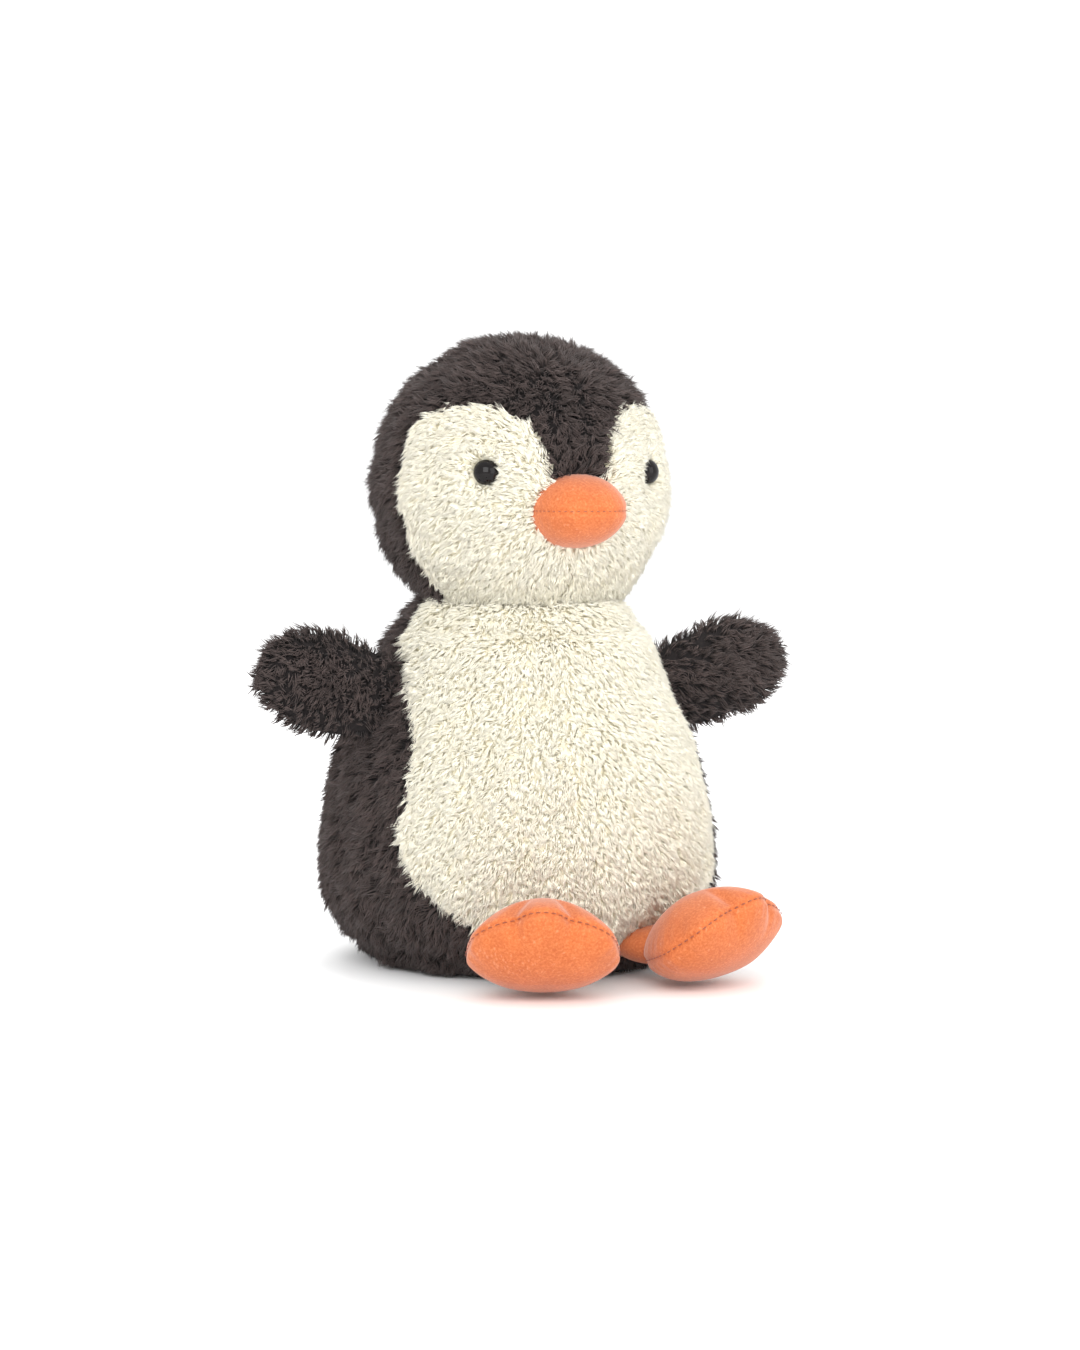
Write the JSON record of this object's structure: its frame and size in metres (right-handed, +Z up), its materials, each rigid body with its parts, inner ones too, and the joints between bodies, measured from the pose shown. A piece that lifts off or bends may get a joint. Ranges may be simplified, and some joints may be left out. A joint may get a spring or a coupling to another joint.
{
  "type": "plush penguin",
  "caption": "Seated stuffed penguin with a dark back, cream face and belly, orange beak and feet, and sprung head, wings and feet.",
  "frame": {"origin": "on the surface the toy sits on, under the middle of its bounding box", "axes": "+Z up; the toy faces -Y; +X is the toy's own left"},
  "size_m": [0.1972, 0.1807, 0.2135],
  "materials": {
    "dark_pile": "long matt pile",
    "cream_pile": "long matt pile",
    "orange_suede": "brushed suede cloth",
    "fibre": "loose fibre",
    "pouch_cloth": "plain weave",
    "label_cloth": "satin ribbon, blank",
    "pellets": "satin",
    "washer_plastic": "satin",
    "eye_plastic": "polished"
  },
  "bodies": {
    "torso": {"belly_panel": "cream_pile", "back_panel_left": "dark_pile", "back_panel_right": "dark_pile", "base_panel": "dark_pile", "torso_filling": "fibre", "bean_pouch": "pouch_cloth", "bean_pellets": "pellets", "sewn_label": "label_cloth"},
    "neck": {"neck_filling": "fibre"},
    "head": {"head_cover_left": "dark_pile", "head_cover_right": "dark_pile", "face_panel_left": "cream_pile", "face_panel_right": "cream_pile", "head_filling": "fibre", "eye_left": "eye_plastic", "eye_right": "eye_plastic", "eye_washer_left": "washer_plastic", "eye_washer_right": "washer_plastic", "beak_upper": "orange_suede", "beak_lower": "orange_suede", "beak_filling": "fibre"},
    "wing_left": {"wing_left_front": "dark_pile", "wing_left_back": "dark_pile", "wing_left_filling": "fibre"},
    "wing_right": {"wing_right_front": "dark_pile", "wing_right_back": "dark_pile", "wing_right_filling": "fibre"},
    "foot_left": {"foot_left_top": "orange_suede", "foot_left_sole": "orange_suede", "foot_left_filling": "fibre"},
    "foot_right": {"foot_right_top": "orange_suede", "foot_right_sole": "orange_suede", "foot_right_filling": "fibre"}
  },
  "joints": [
    {"name": "head_turn", "type": "hinge", "parent": "torso", "child": "neck", "pos_m": [0, 0.01485, 0.118], "axis": [0, 0, 1], "range_deg": [-30, 30], "stiffness_Nm_per_rad": 0.6},
    {"name": "head_nod", "type": "hinge", "parent": "neck", "child": "head", "pos_m": [0, 0.01485, 0.118], "axis": [1, 0, 0], "range_deg": [-10, 12], "stiffness_Nm_per_rad": 0.8},
    {"name": "wing_left_sweep", "type": "hinge", "parent": "torso", "child": "wing_left", "pos_m": [0.06206, 0.00833, 0.0945], "axis": [0.3401, -0.0358, -0.9397], "range_deg": [-25, 40], "stiffness_Nm_per_rad": 0.12},
    {"name": "wing_right_sweep", "type": "hinge", "parent": "torso", "child": "wing_right", "pos_m": [-0.06206, 0.00833, 0.0945], "axis": [0.3401, 0.0358, 0.9397], "range_deg": [-25, 40], "stiffness_Nm_per_rad": 0.12},
    {"name": "foot_left_tilt", "type": "hinge", "parent": "torso", "child": "foot_left", "pos_m": [0.024, -0.05765, 0.0105], "axis": [-0.9063, -0.4226, 0], "range_deg": [-5, 20], "stiffness_Nm_per_rad": 0.15},
    {"name": "foot_right_tilt", "type": "hinge", "parent": "torso", "child": "foot_right", "pos_m": [-0.024, -0.05765, 0.0105], "axis": [-0.9063, 0.4226, 0], "range_deg": [-5, 20], "stiffness_Nm_per_rad": 0.15}
  ]
}
